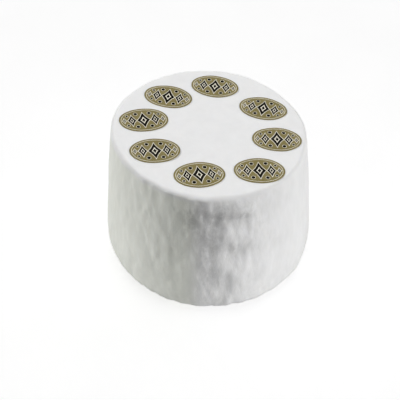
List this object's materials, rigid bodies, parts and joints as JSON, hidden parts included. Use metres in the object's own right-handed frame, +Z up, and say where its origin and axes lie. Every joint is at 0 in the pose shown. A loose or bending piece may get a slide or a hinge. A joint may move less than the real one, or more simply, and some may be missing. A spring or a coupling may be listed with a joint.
{
  "type": "cheese wheel",
  "caption": "Tall round soft cheese with a white bloomy rind, settled wider at its foot, its top face sloping and set with a ring of thin oval gold paper labels.",
  "frame": {"origin": "centre of the underside, on the surface that the wheel stands on", "axes": "+Z up along the wheel's axis, +X to the right seen from the front, where the top face is lowest; the front faces -Y"},
  "size_m": [0.1571, 0.1595, 0.1183],
  "materials": {
    "rind": "velvety matt white mould rind, faintly mottled and ridged",
    "gold_paper": "thin olive-gold printed paper, satin, printed in dark brown with pale lines"
  },
  "bodies": {
    "root": {"wheel": "rind", "label_1": "gold_paper", "label_2": "gold_paper", "label_3": "gold_paper", "label_4": "gold_paper", "label_5": "gold_paper", "label_6": "gold_paper", "label_7": "gold_paper", "label_8": "gold_paper"}
  },
  "joints": []
}
